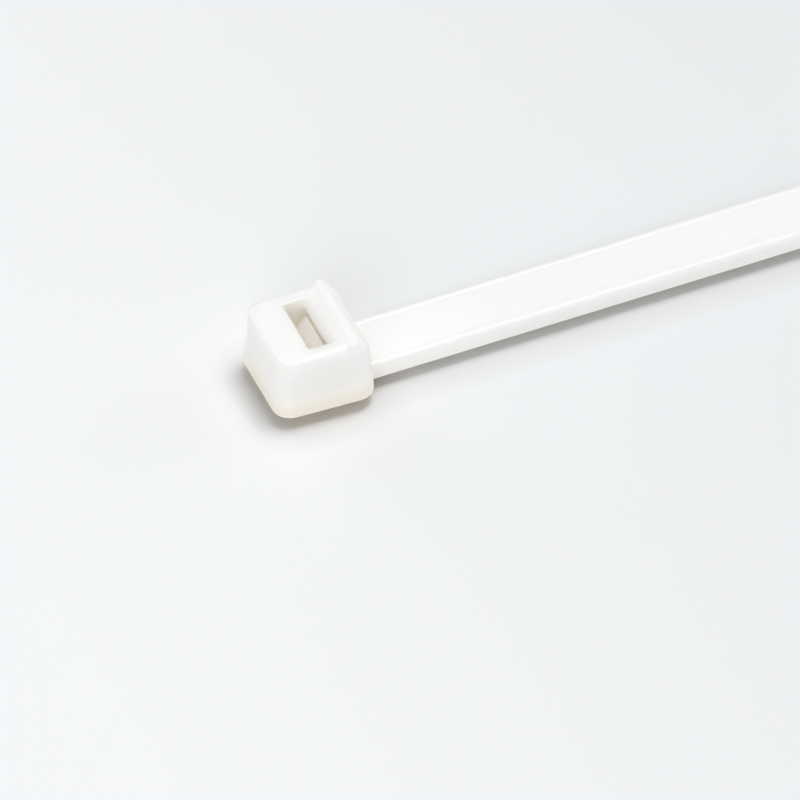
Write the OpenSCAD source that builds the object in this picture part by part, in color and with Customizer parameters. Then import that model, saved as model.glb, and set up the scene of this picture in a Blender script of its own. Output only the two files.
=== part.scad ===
// Cable tie, moulded in one piece. The origin is the centre of the slot's mouth on the head's underside.
// +X runs along the strap to the tail, +Z is the way the tail leaves the slot. Lengths are in millimetres.

/* [Strap] */
// Width of the strap
strap_width = 3.6; // [2.5:0.1:5]
// Thickness of the strap
strap_thickness = 1.2; // [1:0.05:1.4]
// Length over all, from the head's nose to the tip of the tail
overall_length = 150; // [100:1:250]
// Plain neck between the head and the first groove of the rack
neck_length = 8; // [4:0.5:20]
// Rounding of the strap's two upper edges
edge_radius = 0.16; // [0.05:0.01:0.3]
// Fillets where the strap runs into the head
neck_fillet = 0.35; // [0.1:0.05:0.8]

/* [Rack] */
// Pitch of the teeth
tooth_pitch = 0.95; // [0.8:0.05:1.2]
// Depth of the grooves above the strap's underside
tooth_depth = 0.38; // [0.3:0.01:0.5]
// How far the crests stay inside the underside
crest_inset = 0.05; // [0:0.01:0.1]
// Flat left on each crest
crest_flat = 0.14; // [0.05:0.01:0.25]
// Plain rail at each side of the rack
rail_width = 0.35; // [0.25:0.05:0.6]

/* [Tail] */
// Plain tail behind the last tooth
tail_length = 24; // [15:1:40]
// Stretch over which the tail narrows
tip_taper = 9; // [4:0.5:14]
// Width of the tip
tip_width = 1.9; // [1.2:0.1:2.4]
// Thickness of the tip
tip_thickness = 0.8; // [0.6:0.05:0.95]
// Pitch of the finger grooves across the tail
grip_pitch = 1.3; // [0.9:0.1:2]
// Depth of the finger grooves
grip_depth = 0.12; // [0.05:0.01:0.2]
// Width of a finger groove
grip_width = 0.72; // [0.4:0.02:0.8]
// Plain stretch between the finger grooves and the taper
grip_setback = 1; // [0.5:0.1:2]
// Number of finger grooves
grip_count = 8; // [4:1:9]

/* [Head] */
// Height of the head
head_height = 4.05; // [3.8:0.05:5]
// Wall between the slot and the nose
nose_wall = 2.28; // [1.8:0.02:3]
// Wall between the slot and the strap
root_wall = 2.52; // [2.44:0.02:3.2]
// Wall at each end of the slot
side_wall = 1.26; // [1:0.02:1.8]
// Radius of the head's upright corners
corner_radius = 1.1; // [0.7:0.05:1.4]
// Height of the parting line, where the draft begins
parting_height = 1.38; // [1.25:0.01:1.6]
// How far the sides lean in between the foot and the parting line
band_draft = 0.05; // [0.01:0.01:0.1]
// Ledge that the two halves of the mould leave at the parting line
parting_ledge = 0.07; // [0.01:0.01:0.15]
// Height over which the ledge slopes
ledge_height = 0.2; // [0.1:0.02:0.4]
// How far the sides lean in above the parting line
draft_inset = 0.15; // [0.05:0.01:0.25]
// How much narrower each side of the head is at the nose
nose_narrowing = 0.18; // [0:0.01:0.4]
// Rounding along the nose's upper edge
nose_round = 0.18; // [0.08:0.01:0.3]
// Rounding that the two long upper edges grow to at the strap's end
side_round = 0.6; // [0.3:0.05:0.7]
// Rounding of the head's lower edge
foot_round = 0.1; // [0.05:0.01:0.2]
// Rounding of the shoulder above the strap
shoulder_radius = 0.8; // [0.3:0.05:0.9]
// How far the shoulder lies below the top
shoulder_drop = 0.12; // [0:0.01:0.25]

/* [Thumb rib] */
// Width of the half-round rib across the top
rib_width = 0.84; // [0.6:0.02:1.1]
// Rise of the rib above the top
rib_rise = 0.28; // [0.15:0.01:0.4]
// Distance of the rib's middle from the slot's edge
rib_setback = 1.28; // [1.15:0.01:1.4]
// How far the rib's ends stay inside the head's sides
rib_inset = 0.12; // [0.02:0.01:0.2]

/* [Slot and pawl] */
// Gap between the slot's ends and the strap's edges
side_clearance = 0.1; // [0.05:0.01:0.2]
// Gap between the slot and the strap's smooth face
face_clearance = 0.04; // [0.02:0.01:0.12]
// Bevel that leads the tail in, at the nose side of the mouth
lead_in = 0.3; // [0.1:0.05:0.6]
// Bevel that lets the tail bend over the rib, at the strap side of the way out
exit_bevel = 0.42; // [0.1:0.02:0.45]
// Thickness of the living hinge
hinge_thickness = 0.4; // [0.3:0.02:0.5]
// Height of the living hinge above the underside
hinge_height = 1.3; // [1.1:0.05:1.5]
// Angle at which the pawl is moulded, past its locked place
pawl_lean = 13; // [6:1:18]
// Free length of the pawl at its back
pawl_length = 1.92; // [1.7:0.02:2]
// Thickness of the pawl behind its teeth
pawl_thickness = 0.5; // [0.4:0.02:0.6]
// Gap between the pawl and the rails at each side
pawl_clearance = 0.1; // [0.06:0.01:0.16]
// Depth of the pocket that the pawl springs back into
pocket_depth = 0.86; // [0.75:0.02:1]
// Height of the lip over the pocket
lip_height = 0.72; // [0.5:0.02:0.8]

/* [Hidden] */
$fn = 48;
// Small overlap for cuts that run out of a face
cut = 0.5;
// Number of steps in a computed arc
arc_steps = 8;
// Height of the mouth's bevel for each millimetre of its width
lead_slope = 2;
// Where the shoulder's rounding runs into the drafted face, in degrees above the level
shoulder_end = 12;
// Thin slice of the strap that the drawn-down tip starts from
slice = 0.02;
// Bevel round the tip's upper edge
tip_bevel = 0.15;
// Rounding in the pocket's lower corner
pocket_round = 0.2;
// How far the pawl's root stands in the slot's wall
root_tuck = 0.04;
// Rise of the lower barb's ramp
ramp_rise = 0.33;
// Swell of the pawl's back behind the barbs, and where it begins above the hinge
back_swell = 0.1;
swell_start = 0.5;
// Bevel at the pawl's upper end
end_bevel = 0.14;
// Foot of the pawl inside the head
foot_length = 0.6;
foot_flare = 0.3;

slot_gap = strap_thickness + face_clearance;
slot_length = strap_width + 2 * side_clearance;
nose_x = -slot_gap / 2 - nose_wall;
root_x = slot_gap / 2 + root_wall;
head_width = slot_length + 2 * side_wall;
tip_x = nose_x + overall_length;
taper_x = tip_x - tip_taper;

rack_x = root_x + neck_length;
tooth_count = floor((tip_x - tail_length - rack_x) / tooth_pitch);
rack_width = strap_width - 2 * rail_width;

rib_x = slot_gap / 2 + rib_setback;
rib_radius = cap_radius(rib_width, rib_rise);
rib_z = head_height + rib_rise - rib_radius;
rib_turn = asin((head_height - rib_z) / rib_radius);
top_inset = band_draft + parting_ledge + draft_inset;
shoulder_x = root_x - top_inset;
shoulder_z = head_height - shoulder_drop;

pocket_x = slot_gap / 2 + pocket_depth;
pocket_top = head_height - lip_height;
pawl_width = rack_width - 2 * pawl_clearance;
// Locked pawl, seen from the hinge: its teeth stand in the grooves of a strap that lies on the nose wall
pawl_root_x = slot_gap / 2 - root_tuck;
barb_x = -slot_gap / 2 + strap_thickness - tooth_depth + face_clearance / 2 - pawl_root_x;
barb_depth = tooth_depth - crest_inset;
barb_z = pawl_length - pawl_thickness - back_swell;

function arc(x, z, r, from, to) =
    [for (i = [0:arc_steps]) let (a = from + (to - from) * i / arc_steps) [x + r * cos(a), z + r * sin(a)]];

// Radius of the circle that a cap of this width and rise belongs to
function cap_radius(width, rise) = (width * width / 4 + rise * rise) / (2 * rise);

// Extrudes an outline drawn in X and Z across the tie
module across(width) {
    rotate([90, 0, 0])
        linear_extrude(width, center = true)
            children();
}

// Upright corner of the head below the parting line
module lower_post() {
    rotate_extrude()
        polygon([
            [0, 0],
            [corner_radius - foot_round, 0],
            [corner_radius, foot_round],
            [corner_radius - band_draft, parting_height - ledge_height],
            [corner_radius - band_draft - parting_ledge, parting_height],
            [0, parting_height]
        ]);
}

// Upright corner of the head above the parting line
module upper_post(round_over) {
    top_r = corner_radius - top_inset;
    rotate_extrude()
        polygon(concat(
            [[0, parting_height], [top_r + draft_inset, parting_height]],
            arc(top_r - round_over, head_height - round_over, round_over, 0, 90),
            [[0, head_height]]
        ));
}

module lower_band() {
    half = head_width / 2 - corner_radius;
    hull()
        for (side = [-1, 1]) {
            translate([nose_x + corner_radius, side * (half - nose_narrowing), 0]) lower_post();
            translate([root_x - corner_radius, side * half, 0]) lower_post();
        }
}

// The drafted upper part, crisp along the nose and softer towards the strap
module upper_block() {
    half = head_width / 2 - corner_radius;
    hull()
        for (side = [-1, 1]) {
            translate([nose_x + corner_radius, side * (half - nose_narrowing), 0]) upper_post(nose_round);
            translate([root_x - corner_radius, side * half, 0]) upper_post(side_round);
        }
}

// What is cut from the head above the strap, to leave the rounded shoulder behind the rib
module shoulder_cut() {
    far = root_x + cut;
    high = head_height + cut;
    r = shoulder_radius;
    across(head_width + cut)
        polygon(concat(
            [[rib_x, high], [rib_x, shoulder_z]],
            arc(shoulder_x - r, shoulder_z - r, r, 90, shoulder_end),
            [[root_x, parting_height], [far, parting_height], [far, high]]
        ));
}

// Rounded rib across the top, almost flush with the head's sides, that the bent tail lies over
module thumb_rib() {
    base = head_height - side_round;
    across(head_width - 2 * (top_inset + rib_inset))
        polygon(concat(
            [[rib_x - rib_width / 2, base]],
            arc(rib_x, rib_z, rib_radius, 180 - rib_turn, rib_turn),
            [[rib_x + rib_width / 2, base]]
        ));
}

// The way through the head: the pocket behind the pawl, the bevel at the mouth and the one at the way out
module slot_cut() {
    half = slot_gap / 2;
    inner = hinge_thickness + pawl_root_x;
    across(slot_length) {
        translate([-half, -cut]) square([slot_gap, head_height + 2 * cut]);
        polygon(concat(
            [[0, pocket_top], [0, hinge_height], [inner, hinge_height]],
            arc(pocket_x - pocket_round, hinge_height + pocket_round, pocket_round, -90, 0),
            [[pocket_x, pocket_top]]
        ));
        polygon([
            [-half - lead_in, -cut],
            [-half - lead_in, 0],
            [-half, lead_slope * lead_in],
            [0, lead_slope * lead_in],
            [0, -cut]
        ]);
        polygon([
            [0, head_height - exit_bevel],
            [half, head_height - exit_bevel],
            [half + exit_bevel, head_height],
            [half + exit_bevel, head_height + cut],
            [0, head_height + cut]
        ]);
    }
}

// The toothed tongue on its living hinge, moulded leaning into the slot
module pawl() {
    back = hinge_thickness + back_swell;
    translate([pawl_root_x, 0, hinge_height])
        rotate([0, -pawl_lean, 0])
            across(pawl_width)
                polygon([
                    [foot_flare / 2, -foot_length],
                    [root_tuck, 0],
                    [barb_x + barb_depth, barb_z - tooth_pitch - ramp_rise],
                    [barb_x, barb_z - tooth_pitch],
                    [barb_x + barb_depth, barb_z - tooth_pitch],
                    [barb_x, barb_z],
                    [back - end_bevel, pawl_length],
                    [back, pawl_length - end_bevel],
                    [back, swell_start],
                    [hinge_thickness, 0],
                    [hinge_thickness + foot_flare, -foot_length]
                ]);
}

module strap_section() {
    half = strap_width / 2 - edge_radius;
    square_top = strap_thickness - edge_radius;
    translate([-strap_width / 2, 0]) square([strap_width, square_top]);
    translate([-half, 0]) square([2 * half, strap_thickness]);
    for (side = [-1, 1]) translate([side * half, square_top]) circle(r = edge_radius);
}

module strap_body() {
    start = root_x - root_wall / 2;
    translate([start, 0, 0])
        rotate([90, 0, 90])
            linear_extrude(taper_x - start)
                strap_section();
}

// Last stretch of the tail, drawn down to a narrow rounded tip that lies on the same plane
module tail_tip() {
    hull() {
        translate([taper_x - slice, 0, 0])
            rotate([90, 0, 90])
                linear_extrude(slice)
                    strap_section();
        translate([tip_x - tip_width / 2, 0, 0]) {
            cylinder(h = tip_thickness - tip_bevel, d = tip_width);
            cylinder(h = tip_thickness, d = tip_width - 2 * tip_bevel);
        }
    }
}

// Saw-tooth void under the strap: steep faces look to the head, ramps to the tail
module rack_cut() {
    end_x = rack_x + tooth_count * tooth_pitch;
    line = [for (i = [0:tooth_count - 1])
        let (x = rack_x + i * tooth_pitch)
        each [[x, tooth_depth], [x, crest_inset], [x + crest_flat, crest_inset]]];
    across(rack_width)
        polygon(concat(
            [[rack_x - tooth_pitch, -cut], [rack_x - tooth_pitch, 0]],
            line,
            [[end_x, tooth_depth], [end_x, -cut]]
        ));
}

// Grooves across the top of the tail, for fingers or pliers
module grip_cuts() {
    radius = cap_radius(grip_width, grip_depth);
    for (i = [0:grip_count - 1])
        translate([taper_x - grip_setback - i * grip_pitch, 0, strap_thickness - grip_depth + radius])
            rotate([90, 0, 0])
                cylinder(h = strap_width + cut, r = radius, center = true);
}

// Fillets beside the strap and above it, where it runs into the head
module neck_fillets() {
    height = strap_thickness - edge_radius;
    for (flip = [0, 1])
        mirror([0, flip, 0])
            translate([root_x, strap_width / 2, 0])
                difference() {
                    translate([-cut, -cut, 0]) cube([cut + neck_fillet, cut + neck_fillet, height]);
                    translate([neck_fillet, neck_fillet, -cut])
                        cylinder(h = height + 2 * cut, r = neck_fillet);
                }
    difference() {
        translate([root_x - cut, -strap_width / 2 + edge_radius, strap_thickness - cut])
            cube([cut + neck_fillet, strap_width - 2 * edge_radius, cut + neck_fillet]);
        translate([root_x + neck_fillet, 0, strap_thickness + neck_fillet])
            rotate([90, 0, 0])
                cylinder(h = strap_width + cut, r = neck_fillet, center = true);
    }
}

module cable_tie() {
    color([0.96, 0.95, 0.92]) {
        difference() {
            union() {
                difference() {
                    union() {
                        lower_band();
                        upper_block();
                    }
                    shoulder_cut();
                }
                thumb_rib();
                strap_body();
                tail_tip();
                neck_fillets();
            }
            slot_cut();
            rack_cut();
            grip_cuts();
        }
        pawl();
    }
}

cable_tie();
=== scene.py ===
"""A natural nylon cable tie on a pale bench top: one moulding, its finish, the light and the camera."""

import logging
import math
from dataclasses import dataclass, field
from enum import Enum

import bpy
from mathutils import Matrix, Vector


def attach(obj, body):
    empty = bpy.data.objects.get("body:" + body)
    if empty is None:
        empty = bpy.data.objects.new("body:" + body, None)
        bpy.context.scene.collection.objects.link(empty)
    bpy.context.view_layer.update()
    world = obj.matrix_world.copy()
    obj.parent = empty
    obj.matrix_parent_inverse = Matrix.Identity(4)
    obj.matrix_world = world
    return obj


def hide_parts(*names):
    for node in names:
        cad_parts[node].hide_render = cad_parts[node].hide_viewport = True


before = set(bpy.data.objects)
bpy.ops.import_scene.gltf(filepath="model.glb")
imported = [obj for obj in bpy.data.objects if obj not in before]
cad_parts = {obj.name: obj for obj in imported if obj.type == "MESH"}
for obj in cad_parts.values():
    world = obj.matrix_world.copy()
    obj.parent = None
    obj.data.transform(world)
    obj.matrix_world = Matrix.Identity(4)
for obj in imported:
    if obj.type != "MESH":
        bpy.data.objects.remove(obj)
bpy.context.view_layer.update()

LOG = logging.getLogger("cable_tie")
BODY = "root"
MM = 0.001
CLEAR = 0.5  # how far a cutting tool reaches past what it cuts, in millimetres
POST_CORNERS = 64

Point = tuple[float, float]
Outline = list[Point]
Post = tuple[float, float, Outline]


class Finish(Enum):
    """How a surface was made, as the roughness that this leaves."""

    SATIN_MOULD = 0.38
    MATT_LAMINATE = 0.7


class Work(Enum):
    """What is done with a tool that meets a piece."""

    ADD = "UNION"
    CUT = "DIFFERENCE"


def hex_to_linear(colour: str) -> tuple[float, float, float, float]:
    """Turns a written sRGB colour into the linear one that a shader takes.

    Args:
        colour: six hex digits after a hash, such as "#F4F1EA".

    Returns:
        Red, green, blue and an alpha of one, linear.
    """
    channels = [int(colour[i : i + 2], 16) / 255 for i in (1, 3, 5)]
    linear = [c / 12.92 if c <= 0.04045 else ((c + 0.055) / 1.055) ** 2.4 for c in channels]
    return (linear[0], linear[1], linear[2], 1.0)


def add_node(
    tree: bpy.types.NodeTree,
    kind: str,
    settings: dict[str, object] | None = None,
    inputs: dict[str, object] | None = None,
    links: dict[str, bpy.types.NodeSocket] | None = None,
) -> bpy.types.Node:
    """Adds a node with its settings, its constant inputs and the links that feed it.

    Args:
        tree: the node tree that takes the node.
        kind: the node's type name, such as "ShaderNodeTexNoise".
        settings: attributes of the node itself.
        inputs: values of its sockets, by socket name.
        links: outputs of other nodes that feed its sockets, by socket name.

    Returns:
        The new node.
    """
    node = tree.nodes.new(kind)
    for name, value in (settings or {}).items():
        setattr(node, name, value)
    for name, value in (inputs or {}).items():
        node.inputs[name].default_value = value
    for name, socket in (links or {}).items():
        tree.links.new(socket, node.inputs[name])
    return node


def new_material(name: str) -> tuple[bpy.types.Material, bpy.types.NodeTree]:
    """Makes an empty node material.

    Args:
        name: the material's name.

    Returns:
        The material and its cleared node tree.
    """
    material = bpy.data.materials.new(name)
    material.use_nodes = True
    material.node_tree.nodes.clear()
    return material, material.node_tree


@dataclass(frozen=True)
class NaturalNylon:
    """Nylon 6/6 without pigment, injection moulded in a satin mould.

    The crystals in it scatter light, so the thin strap is a cool milky white that lets light through. The
    thick head is creamier, and low down it is painted darker and warmer still: painted shade, where little
    light reaches the head beside its shadow on the bench. The mould's grain breaks up the mirrored light.
    It is drawn coarser than a real one, which is too fine to show.
    """

    strap_colour: str = "#FBFDFE"
    head_colour: str = "#FFFDF7"
    # painted shade: the colour that the head turns to low down
    painted_shade_colour: str = "#F0E9DE"
    neck_mm: tuple[float, float] = (2.6, 4.6)
    # heights over which the painted shade on the head fades out, in millimetres
    painted_shade_mm: tuple[float, float] = (0.0, 1.9)
    scatter_mm: tuple[float, float, float] = (1.6, 1.5, 1.35)
    ior: float = 1.53
    finish: Finish = Finish.SATIN_MOULD
    finish_swing: float = 0.05
    grain_mm: float = 0.18
    grain_height_mm: float = 0.004
    grain_detail: float = 3.0
    grain_roughness: float = 0.55
    grain_strength: float = 0.35

    def make(self) -> bpy.types.Material:
        """Builds the material.

        Returns:
            The nylon, with a fine moulded grain in its roughness and its surface.
        """
        material, tree = new_material("natural_nylon_moulded")
        place = add_node(tree, "ShaderNodeTexCoord")
        grain = add_node(
            tree,
            "ShaderNodeTexNoise",
            inputs={
                "Scale": 1 / (self.grain_mm * MM),
                "Detail": self.grain_detail,
                "Roughness": self.grain_roughness,
            },
            links={"Vector": place.outputs["Object"]},
        )
        roughness = add_node(
            tree,
            "ShaderNodeMapRange",
            inputs={
                "To Min": self.finish.value - self.finish_swing,
                "To Max": self.finish.value + self.finish_swing,
            },
            links={"Value": grain.outputs["Fac"]},
        )
        bump = add_node(
            tree,
            "ShaderNodeBump",
            inputs={"Strength": self.grain_strength, "Distance": self.grain_height_mm * MM},
            links={"Height": grain.outputs["Fac"]},
        )
        along = add_node(tree, "ShaderNodeSeparateXYZ", links={"Vector": place.outputs["Object"]})
        ramps = {}
        for axis, (start, end) in (("X", self.neck_mm), ("Z", self.painted_shade_mm)):
            ramps[axis] = add_node(
                tree,
                "ShaderNodeMapRange",
                settings={"interpolation_type": "SMOOTHSTEP"},
                inputs={"From Min": start * MM, "From Max": end * MM},
                links={"Value": along.outputs[axis]},
            )
        # mixes the painted shade into the head's colour low down
        head = add_node(
            tree,
            "ShaderNodeMixRGB",
            inputs={"Color1": hex_to_linear(self.painted_shade_colour), "Color2": hex_to_linear(self.head_colour)},
            links={"Fac": ramps["Z"].outputs["Result"]},
        )
        colour = add_node(
            tree,
            "ShaderNodeMixRGB",
            inputs={"Color2": hex_to_linear(self.strap_colour)},
            links={"Fac": ramps["X"].outputs["Result"], "Color1": head.outputs["Color"]},
        )
        shader = add_node(
            tree,
            "ShaderNodeBsdfPrincipled",
            settings={"subsurface_method": "RANDOM_WALK"},
            inputs={
                "IOR": self.ior,
                "Subsurface Weight": 1.0,
                "Subsurface Radius": self.scatter_mm,
                "Subsurface Scale": MM,
            },
            links={
                "Base Color": colour.outputs["Color"],
                "Roughness": roughness.outputs["Result"],
                "Normal": bump.outputs["Normal"],
            },
        )
        add_node(tree, "ShaderNodeOutputMaterial", links={"Surface": shader.outputs["BSDF"]})
        return material


@dataclass(frozen=True)
class BenchTop:
    """Matt laminate, pale grey with a breath of blue, painted lighter at the left than at the right as a
    falloff of light.

    The camera sees the written colours. Every other ray meets a lighter one, as under a bench that is lit all
    round, so the tie's sides get the light that a real room sends up to them. Close to the tie the floor's
    colour is painted darker and warmer, a painted contact shadow where the light has to squeeze in past the
    nylon.
    """

    # painted light falloff: the floor is drawn lighter at the left than at the right
    left: str = "#F5F7F9"
    right: str = "#EAECEE"
    bounce: str = "#FFFEFC"
    # painted contact shadow: the floor's colour close to the tie, as the camera sees it and as other rays meet
    # it
    contact_shadow: str = "#A4A19B"
    bounce_contact_shadow: str = "#F6F4F1"
    contact_mm: float = 2.5
    contact_samples: int = 8
    falloff_mm: tuple[float, float] = (-20.0, 32.0)
    finish: Finish = Finish.MATT_LAMINATE
    specular: float = 0.2

    def make(self) -> bpy.types.Material:
        """Builds the material.

        Returns:
            The laminate, with its painted falloff of light, its lighter bounce and the painted shadow close to
            the tie.
        """
        material, tree = new_material("bench_laminate_matt")
        place = add_node(tree, "ShaderNodeTexCoord")
        along = add_node(tree, "ShaderNodeSeparateXYZ", links={"Vector": place.outputs["Object"]})
        # painted light falloff across the floor, along X
        falloff = add_node(
            tree,
            "ShaderNodeMapRange",
            inputs={"From Min": self.falloff_mm[0] * MM, "From Max": self.falloff_mm[1] * MM},
            links={"Value": along.outputs["X"]},
        )
        falloff_tone = add_node(
            tree,
            "ShaderNodeMixRGB",
            inputs={"Color1": hex_to_linear(self.left), "Color2": hex_to_linear(self.right)},
            links={"Fac": falloff.outputs["Result"]},
        )
        path = add_node(tree, "ShaderNodeLightPath")
        seen = add_node(
            tree,
            "ShaderNodeMixRGB",
            inputs={"Color1": hex_to_linear(self.bounce)},
            links={"Fac": path.outputs["Is Camera Ray"], "Color2": falloff_tone.outputs["Color"]},
        )
        # painted contact shadow: ambient occlusion darkens and warms the floor's colour close to the tie
        contact_shadow = add_node(
            tree,
            "ShaderNodeAmbientOcclusion",
            settings={"samples": self.contact_samples},
            inputs={"Distance": self.contact_mm * MM},
        )
        # painted shadow colour: darker for the camera, paler for every other ray
        painted_shadow = add_node(
            tree,
            "ShaderNodeMixRGB",
            inputs={"Color1": hex_to_linear(self.bounce_contact_shadow), "Color2": hex_to_linear(self.contact_shadow)},
            links={"Fac": path.outputs["Is Camera Ray"]},
        )
        shaded = add_node(
            tree,
            "ShaderNodeMixRGB",
            links={
                "Fac": contact_shadow.outputs["AO"],
                "Color1": painted_shadow.outputs["Color"],
                "Color2": seen.outputs["Color"],
            },
        )
        shader = add_node(
            tree,
            "ShaderNodeBsdfPrincipled",
            inputs={"Roughness": self.finish.value, "Specular IOR Level": self.specular},
            links={"Base Color": shaded.outputs["Color"]},
        )
        add_node(tree, "ShaderNodeOutputMaterial", links={"Surface": shader.outputs["BSDF"]})
        return material


def deselect() -> None:
    """Leaves edit mode and deselects every object."""
    if bpy.context.object and bpy.context.object.mode == "EDIT":
        bpy.ops.object.mode_set(mode="OBJECT")
    bpy.ops.object.select_all(action="DESELECT")


def take(*pieces: bpy.types.Object) -> None:
    """Selects some pieces alone and makes the first one active.

    Args:
        pieces: the pieces to work on.
    """
    deselect()
    for piece in pieces:
        piece.select_set(True)
    bpy.context.view_layer.objects.active = pieces[0]


def edit(piece: bpy.types.Object) -> None:
    """Opens a piece in edit mode with all of its mesh selected.

    Args:
        piece: the piece to work on.
    """
    take(piece)
    bpy.ops.object.mode_set(mode="EDIT")
    bpy.ops.mesh.select_mode(type="VERT")
    bpy.ops.mesh.select_all(action="SELECT")


def close_up() -> None:
    """Turns the edited piece's faces outwards and leaves edit mode."""
    bpy.ops.mesh.select_all(action="SELECT")
    bpy.ops.mesh.normals_make_consistent(inside=False)
    deselect()


def modify(piece: bpy.types.Object, kind: str, **settings: object) -> None:
    """Adds a modifier to a piece and applies it.

    Args:
        piece: the piece to change.
        kind: the modifier's type.
        settings: the modifier's own settings.
    """
    take(piece)
    modifier = piece.modifiers.new(kind.lower(), kind)
    for name, value in settings.items():
        setattr(modifier, name, value)
    bpy.ops.object.modifier_apply(modifier=modifier.name)


def combine(piece: bpy.types.Object, tool: bpy.types.Object, work: Work) -> None:
    """Joins a tool to a piece or cuts it out, and removes the tool.

    Args:
        piece: the piece that stays.
        tool: what is joined to it or cut from it.
        work: whether it is added or cut.
    """
    modify(piece, "BOOLEAN", operation=work.value, object=tool, solver="EXACT")
    bpy.data.objects.remove(tool, do_unlink=True)


def apply_place() -> None:
    """Brings the selected piece's place, turn and scale into its mesh."""
    bpy.ops.object.transform_apply(location=True, rotation=True, scale=True)


def arc(middle: Point, radius: float, start: float, end: float, steps: int = 8) -> Outline:
    """Gives the points of an arc, both ends included.

    Args:
        middle: its centre.
        radius: its radius.
        start: where it starts, in degrees from the flat axis.
        end: where it ends.
        steps: number of stretches.

    Returns:
        Its points.
    """
    turns = [math.radians(start + (end - start) * i / steps) for i in range(steps + 1)]
    return [(middle[0] + radius * math.cos(t), middle[1] + radius * math.sin(t)) for t in turns]


def across(name: str, outline: Outline, width: float) -> bpy.types.Object:
    """Draws a side view and extrudes it across the tie.

    Args:
        name: its name.
        outline: corners in X and Z.
        width: width of the block, half of it on each side of the middle plane.

    Returns:
        The closed block.
    """
    deselect()
    bpy.ops.mesh.primitive_circle_add(vertices=len(outline), fill_type="NGON")
    piece = bpy.context.object
    piece.name = name
    for vertex, (x, z) in zip(piece.data.vertices, outline):
        vertex.co = (x, -width / 2, z)
    edit(piece)
    bpy.ops.mesh.extrude_region_move(TRANSFORM_OT_translate={"value": (0, width, 0)})
    close_up()
    return piece


def stretch(name: str, posts: list[Post]) -> bpy.types.Object:
    """Stretches a skin over round posts, the way a block with round corners is drawn.

    Args:
        name: its name.
        posts: each post's X, Y and its rings, as radius and height.

    Returns:
        The convex block.
    """
    rings = []
    for x, y, outline in posts:
        for radius, height in outline:
            deselect()
            bpy.ops.mesh.primitive_circle_add(vertices=POST_CORNERS, radius=radius, location=(x, y, height))
            rings.append(bpy.context.object)
    take(*rings)
    bpy.ops.object.join()
    apply_place()
    block = bpy.context.object
    block.name = name
    edit(block)
    bpy.ops.mesh.convex_hull()
    deselect()
    return block


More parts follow.
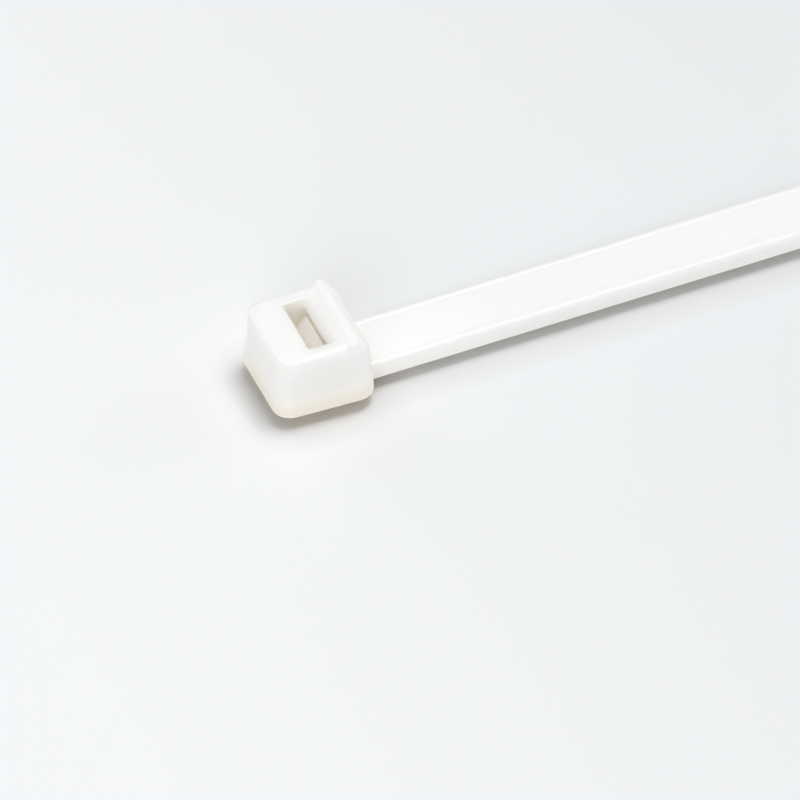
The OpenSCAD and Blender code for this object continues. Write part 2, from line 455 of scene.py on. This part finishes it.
@dataclass
class Strap:
    """The strap with its rack below and its finger grooves above. Lengths are in millimetres."""

    width: float = 3.6
    thickness: float = 1.2
    start_x: float = 1.88
    taper_x: float = 138.1
    tip_x: float = 147.1
    edge_round: float = 0.16
    edge_steps: int = 6
    rim: float = 0.1
    sink: float = 0.035
    rack_x: float = 11.14
    tooth_count: int = 117
    pitch: float = 0.95
    depth: float = 0.38
    crest_inset: float = 0.05
    crest_flat: float = 0.14
    rail: float = 0.35
    tip_width: float = 1.9
    tip_thickness: float = 0.8
    tip_bevel: float = 0.15
    tip_fade: int = 4
    tip_turns: tuple[int, ...] = (15, 30, 45, 57, 68, 77, 84)
    grip_count: int = 8
    grip_pitch: float = 1.3
    grip_radius: float = 0.6
    grip_corners: int = 24
    grip_depth: float = 0.12
    grip_setback: float = 1.0

    def section(self) -> Outline:
        """Draws the strap's section, in Y and Z.

        Returns:
            Its corners: flat below, and above two rounded rims beside a face that has sunk a little.
        """
        side = self.width / 2
        r = self.edge_round
        inner = side - r - self.rim
        edge = arc((side - r, self.thickness - r), r, 0, 90, self.edge_steps)
        face = [(inner, self.thickness), (inner - self.rim, self.thickness - self.sink)]
        half = [(side, 0.0), *edge, *face]
        return half + [(-y, z) for y, z in reversed(half)]

    def stations(self) -> list[tuple[float, float, float]]:
        """Gives the sections along the strap, as X, half width and thickness.

        Returns:
            The end of the straight strap, the drawn-down tail and the steps round the tip.
        """
        half = self.tip_width / 2
        middle = self.tip_x - half
        stations = [(self.taper_x, self.width / 2, self.thickness), (middle, half, self.tip_thickness)]
        for turn in self.tip_turns:
            reach = math.radians(turn)
            drop = self.tip_bevel * (turn / self.tip_turns[-1]) ** self.tip_fade
            x = middle + half * math.sin(reach)
            stations.append((x, half * math.cos(reach), self.tip_thickness - drop))
        return stations

    def body(self) -> bpy.types.Object:
        """Draws the section and extrudes it from the head to the tip, station by station.

        Returns:
            The plain strap with its tail.
        """
        outline = self.section()
        deselect()
        bpy.ops.mesh.primitive_circle_add(vertices=len(outline), fill_type="NGON")
        strap = bpy.context.object
        strap.name = "cable_tie_visual"
        for vertex, (y, z) in zip(strap.data.vertices, outline):
            vertex.co = (self.start_x, y, z)
        edit(strap)
        x, wide, thick = self.start_x, self.width / 2, self.thickness
        for next_x, next_wide, next_thick in self.stations():
            bpy.ops.mesh.extrude_region_move(TRANSFORM_OT_translate={"value": (next_x - x, 0, 0)})
            shrink = (1, next_wide / wide, next_thick / thick)
            bpy.ops.transform.resize(value=shrink, center_override=(0, 0, 0))
            x, wide, thick = next_x, next_wide, next_thick
        close_up()
        return strap

    def rack(self) -> bpy.types.Object:
        """Draws the void of the rack, which leaves a plain rail on each side.

        Returns:
            A comb with its steep faces towards the head and its ramps towards the tail.
        """
        start = self.rack_x - self.pitch
        end = self.rack_x + self.tooth_count * self.pitch
        outline = [(start, -CLEAR), (start, 0.0)]
        for i in range(self.tooth_count):
            x = self.rack_x + i * self.pitch
            outline += [(x, self.depth), (x, self.crest_inset), (x + self.crest_flat, self.crest_inset)]
        outline += [(end, self.depth), (end, -CLEAR)]
        return across("rack", outline, self.width - 2 * self.rail)

    def groove(self, x: float) -> bpy.types.Object:
        """Draws the round bar that presses one finger groove.

        Args:
            x: where the groove lies.

        Returns:
            The bar.
        """
        middle = (x, self.thickness - self.grip_depth + self.grip_radius)
        last = 360 - 360 / self.grip_corners
        outline = arc(middle, self.grip_radius, 0, last, self.grip_corners - 1)
        return across("groove", outline, self.width + 2 * CLEAR)

    def build(self) -> bpy.types.Object:
        """Builds the strap and cuts its rack and its grooves.

        Returns:
            The strap, closed at both ends.
        """
        strap = self.body()
        combine(strap, self.rack(), Work.CUT)
        for i in range(self.grip_count):
            x = self.taper_x - self.grip_setback - i * self.grip_pitch
            combine(strap, self.groove(x), Work.CUT)
        LOG.info("strap: %d faces", len(strap.data.polygons))
        return strap


@dataclass
class Pawl:
    """The toothed tongue on its living hinge, moulded leaning into the slot. Lengths are in millimetres."""

    root: Point = (0.58, 1.3)
    lean: float = 13.0
    width: float = 2.7
    length: float = 1.92
    hinge_front: float = 0.04
    hinge: float = 0.4
    back: float = 0.5
    back_z: float = 0.5
    barb: float = -0.36
    gullet: float = -0.03
    barb_z: float = 1.32
    pitch: float = 0.95
    ramp: float = 0.33
    foot: float = 0.6
    foot_front: float = 0.15
    foot_flare: float = 0.3
    end_bevel: float = 0.14

    def build(self) -> bpy.types.Object:
        """Draws the pawl's side view upright, leans it and extrudes it.

        Returns:
            The pawl with its hinge and a foot that goes into the head's wall.
        """
        low = self.barb_z - self.pitch
        upright = [
            (self.foot_front, -self.foot),
            (self.hinge_front, 0.0),
            (self.gullet, low - self.ramp),
            (self.barb, low),
            (self.gullet, low),
            (self.barb, self.barb_z),
            (self.back - self.end_bevel, self.length),
            (self.back, self.length - self.end_bevel),
            (self.back, self.back_z),
            (self.hinge, 0.0),
            (self.hinge + self.foot_flare, -self.foot),
        ]
        c = math.cos(math.radians(self.lean))
        s = math.sin(math.radians(self.lean))
        x, z = self.root
        return across("pawl", [(x + u * c - v * s, z + u * s + v * c) for u, v in upright], self.width)


@dataclass
class Head:
    """The head: two drafted blocks, the thumb rib, the slot and the pawl. Lengths are in millimetres."""

    nose_x: float = -2.9
    root_x: float = 3.14
    width: float = 6.32
    narrowing: float = 0.18
    height: float = 4.05
    corner: float = 1.1
    foot_bevel: float = 0.1
    lower_draft: float = 0.05
    parting: float = 1.38
    ledge: float = 0.12
    ledge_drop: float = 0.2
    ledge_lap: float = 0.01
    upper_draft: float = 0.15
    upper_lap: float = 0.1
    top_inset: float = 0.27
    nose_round: float = 0.18
    side_round: float = 0.6
    shoulder_x: float = 2.87
    shoulder_z: float = 3.93
    shoulder_round: float = 0.8
    shoulder_turn: tuple[float, float] = (90.0, 12.0)
    rib_x: float = 1.9
    rib_z: float = 3.875
    rib_round: float = 0.455
    rib_turn: tuple[float, float] = (22.0, 158.0)
    rib_foot: float = 0.42
    rib_inset: float = 0.12
    slot_half: float = 0.62
    slot_reach: float = 3.8
    lead_in: float = 0.3
    exit_bevel: float = 0.42
    pocket: tuple[float, float, float] = (1.48, 1.3, 3.33)
    pocket_bevel: float = 0.2
    strap_side: float = 1.8
    strap_top: float = 1.2
    fillet: float = 0.35
    fillet_corners: int = 48
    fillet_bite: float = 0.1
    flare_width: float = 3.28
    neck_height: float = 1.04
    drill_length: float = 4.0
    voxel: float = 0.06
    soften: int = 5
    soften_by: float = 0.5
    pawl: Pawl = field(default_factory=Pawl)

    def posts(self, nose: Outline, root: Outline) -> list[Post]:
        """Places four posts at the block's upright corners.

        Args:
            nose: rings of the two at the nose.
            root: rings of the two at the strap.

        Returns:
            The posts for stretch.
        """
        side = self.width / 2 - self.corner
        ends = [
            (self.nose_x + self.corner, side - self.narrowing, nose),
            (self.root_x - self.corner, side, root),
        ]
        return [(x, sign * y, rings) for x, y, rings in ends for sign in (-1, 1)]

    def block(self) -> bpy.types.Object:
        """Stacks the drafted upper block on the lower one.

        Returns:
            The head's block, with the small ledge between the two at the parting line.
        """
        r = self.corner
        foot = [
            (r - self.foot_bevel, 0.0),
            (r, self.foot_bevel),
            (r - self.lower_draft, self.parting - self.ledge_drop),
            (r - self.ledge, self.parting + self.ledge_lap),
        ]
        top = r - self.top_inset
        skins = []
        for size in (self.nose_round, self.side_round):
            edge = arc((top - size, self.height - size), size, 0, 90)
            skins.append([(top + self.upper_draft, self.parting - self.upper_lap), *edge])
        head = stretch("head", self.posts(foot, foot))
        combine(head, stretch("upper", self.posts(*skins)), Work.ADD)
        return head

    def round_shoulder(self, head: bpy.types.Object) -> None:
        """Rounds the shoulder above the strap.

        Args:
            head: the head's block.
        """
        r = self.shoulder_round
        high = self.height + 2 * CLEAR
        past = self.root_x + 2 * CLEAR
        shoulder = arc((self.shoulder_x - r, self.shoulder_z - r), r, *self.shoulder_turn)
        outline = [(self.rib_x, high), (self.rib_x, self.shoulder_z), *shoulder]
        outline += [(self.root_x, self.parting), (past, self.parting), (past, high)]
        combine(head, across("shoulder", outline, self.width + 2 * CLEAR), Work.CUT)

    def lay_rib(self, head: bpy.types.Object) -> None:
        """Lays the half-round thumb rib across the top.

        Args:
            head: the head's block.
        """
        low = self.height - self.side_round
        crown = arc((self.rib_x, self.rib_z), self.rib_round, *self.rib_turn)
        outline = [(self.rib_x + self.rib_foot, low), *crown, (self.rib_x - self.rib_foot, low)]
        combine(head, across("rib", outline, self.width - 2 * (self.top_inset + self.rib_inset)), Work.ADD)

    def cut_slot(self, head: bpy.types.Object) -> None:
        """Cuts the slot with its mouth, its exit bevel and the pocket behind the pawl.

        Args:
            head: the head's block.
        """
        half, lead, bevel = self.slot_half, self.lead_in, self.exit_bevel
        above = self.height + 2 * CLEAR
        back, low, high = self.pocket
        outline = [
            (-half - lead, -CLEAR),
            (-half - lead, 0.0),
            (-half, 2 * lead),
            (-half, above),
            (half + bevel, above),
            (half + bevel, self.height),
            (half, self.height - bevel),
            (half, high),
            (back, high),
            (back, low + self.pocket_bevel),
            (back - self.pocket_bevel, low),
            (half, low),
            (half, -CLEAR),
        ]
        combine(head, across("slot", outline, self.slot_reach), Work.CUT)

    def side_flare(self, sign: int) -> bpy.types.Object:
        """Builds the fillet at one side of the strap's root: a block with a round hollow drilled from it.

        Args:
            sign: 1 for the left side and -1 for the right one, as seen along the strap.

        Returns:
            The fillet.
        """
        r = self.fillet
        reach = r + 2 * self.fillet_bite
        x = self.root_x + r / 2 - self.fillet_bite
        y = self.strap_side + r / 2 - self.fillet_bite
        deselect()
        bpy.ops.mesh.primitive_cube_add(size=1, location=(x, sign * y, self.neck_height / 2))
        flare = bpy.context.object
        flare.scale = (reach, reach, self.neck_height)
        apply_place()
        deselect()
        bpy.ops.mesh.primitive_cylinder_add(
            vertices=self.fillet_corners,
            radius=r,
            depth=self.drill_length,
            location=(self.root_x + r, sign * (self.strap_side + r), 0),
        )
        combine(flare, bpy.context.object, Work.CUT)
        return flare

    def flare_neck(self, head: bpy.types.Object) -> None:
        """Adds the fillets where the strap leaves the head, at its two sides and above it.

        Args:
            head: the head's block.
        """
        for sign in (-1, 1):
            combine(head, self.side_flare(sign), Work.ADD)
        r = self.fillet
        x = self.root_x
        low = self.strap_top - self.fillet_bite
        high = self.strap_top + r
        hollow = arc((x + r, high), r, 180, 270)
        outline = [(x - self.fillet_bite, low), (x - self.fillet_bite, high), *hollow, (x + r, low)]
        combine(head, across("flare", outline, self.flare_width), Work.ADD)

    def build(self) -> bpy.types.Object:
        """Builds the head and softens its edges as a mould with a satin finish leaves them.

        Returns:
            The closed head with its pawl.
        """
        head = self.block()
        self.round_shoulder(head)
        self.lay_rib(head)
        self.flare_neck(head)
        self.cut_slot(head)
        combine(head, self.pawl.build(), Work.ADD)
        modify(head, "REMESH", mode="VOXEL", voxel_size=self.voxel, adaptivity=0.0)
        modify(head, "SMOOTH", factor=self.soften_by, iterations=self.soften)
        LOG.info("head: %d faces", len(head.data.polygons))
        return head


@dataclass
class CableTie:
    """The tie itself: one moulding, so one piece."""

    nylon: NaturalNylon
    strap: Strap = field(default_factory=Strap)
    head: Head = field(default_factory=Head)
    weld_m: float = 1e-7
    crease_angle: float = 28.0

    def build(self) -> None:
        """Builds the moulding in millimetres, brings it to metres and dresses it in its nylon."""
        tie = self.strap.build()
        combine(tie, self.head.build(), Work.ADD)
        take(tie)
        bpy.ops.transform.resize(value=(MM, MM, MM), center_override=(0, 0, 0))
        apply_place()
        edit(tie)
        bpy.ops.mesh.remove_doubles(threshold=self.weld_m)
        close_up()
        take(tie)
        bpy.ops.object.shade_smooth_by_angle(angle=math.radians(self.crease_angle))
        tie.data.materials.clear()
        tie.data.materials.append(self.nylon.make())
        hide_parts("cable_tie")
        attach(tie, BODY)
        LOG.info("cable_tie: %d faces", len(tie.data.polygons))


@dataclass(frozen=True)
class Softbox:
    """A square soft lamp that looks at the head. Lengths are in millimetres."""

    name: str
    place: tuple[float, float, float]
    side: float
    watts: float

    def hang(self) -> None:
        """Hangs the lamp in the scene, out of the camera's sight."""
        data = bpy.data.lights.new(self.name, "AREA")
        data.shape = "SQUARE"
        data.size = self.side * MM
        data.energy = self.watts
        lamp = bpy.data.objects.new(self.name, data)
        lamp.location = Vector(self.place) * MM
        lamp.rotation_euler = (-Vector(self.place)).to_track_quat("-Z", "Y").to_euler()
        lamp.visible_camera = False
        bpy.context.scene.collection.objects.link(lamp)


@dataclass
class Studio:
    """The floor, the soft lights and the camera. Lengths are in millimetres unless a name says otherwise."""

    frame_width: float = 44.77
    camera_azimuth: float = -23.3
    camera_elevation: float = 45.34
    aim_right: float = 5.243
    aim_up: float = -1.419
    camera_distance: float = 1200.0
    clip_m: tuple[float, float] = (0.1, 10.0)
    sensor: float = 36.0
    floor_side: float = 6000.0
    floor_drop: float = 0.8
    sky: str = "#FFFFFF"
    sky_level: float = 0.24
    mirrored_sky_level: float = 1.0
    bounces: int = 24
    softboxes: tuple[Softbox, ...] = (
        Softbox("overhead", (110, 0, 610), 200, 2.0),
        Softbox("front_fill", (-400, -470, 340), 420, 1.7),
        Softbox("back_fill", (-200, 560, 330), 420, 0.65),
        Softbox("right_glow", (620, 0, 300), 400, 0.5),
    )

    def axes(self) -> tuple[Vector, Vector, Vector]:
        """Works out the camera's own axes in the row frame.

        Returns:
            Unit vectors to the right, up and back towards the camera.
        """
        a = math.radians(self.camera_azimuth)
        e = math.radians(self.camera_elevation)
        right = Vector((math.cos(a), math.sin(a), 0))
        up = Vector((-math.sin(a) * math.sin(e), math.cos(a) * math.sin(e), math.cos(e)))
        return right, up, right.cross(up)

    def set_camera(self) -> None:
        """Places a long lens at the photograph's angle, because the photograph has no perspective."""
        right, up, back = self.axes()
        data = bpy.data.cameras.new("bench_camera")
        data.sensor_width = self.sensor
        data.lens = self.sensor * self.camera_distance / self.frame_width
        data.clip_start, data.clip_end = self.clip_m
        camera = bpy.data.objects.new("bench_camera", data)
        aim = right * self.aim_right + up * self.aim_up
        turn = Matrix((right, up, back)).transposed().to_4x4()
        camera.matrix_world = Matrix.Translation((aim + back * self.camera_distance) * MM) @ turn
        bpy.context.scene.collection.objects.link(camera)
        bpy.context.scene.camera = camera

    def lay_floor(self) -> None:
        """Lays the bench top a little below the tie, as the tie's shadow shows that it stands clear of it."""
        deselect()
        bpy.ops.mesh.primitive_plane_add(size=self.floor_side * MM, location=(0, 0, -self.floor_drop * MM))
        floor = bpy.context.object
        floor.name = "bench_top"
        floor.data.materials.append(BenchTop().make())

    def set_sky(self) -> None:
        """Sets an even sky, which the nylon mirrors as white so that its edges keep their bright line."""
        world = bpy.data.worlds.new("studio")
        bpy.context.scene.world = world
        world.use_nodes = True
        tree = world.node_tree
        path = add_node(tree, "ShaderNodeLightPath")
        strength = add_node(
            tree,
            "ShaderNodeMapRange",
            inputs={"To Min": self.sky_level, "To Max": self.mirrored_sky_level},
            links={"Value": path.outputs["Is Glossy Ray"]},
        )
        background = tree.nodes["Background"]
        background.inputs["Color"].default_value = hex_to_linear(self.sky)
        tree.links.new(strength.outputs["Result"], background.inputs["Strength"])

    def build(self) -> None:
        """Sets up everything round the tie, with enough bounces to keep milky nylon bright in its slot."""
        self.set_camera()
        self.lay_floor()
        self.set_sky()
        for softbox in self.softboxes:
            softbox.hang()
        scene = bpy.context.scene
        scene.view_settings.view_transform = "Standard"
        scene.cycles.max_bounces = self.bounces
        scene.cycles.diffuse_bounces = self.bounces


def main() -> None:
    """Builds the scene: the studio first, then the tie."""
    logging.basicConfig(level=logging.INFO, format="%(name)s: %(message)s")
    Studio().build()
    CableTie(NaturalNylon()).build()


if __name__ == "__main__":
    main()
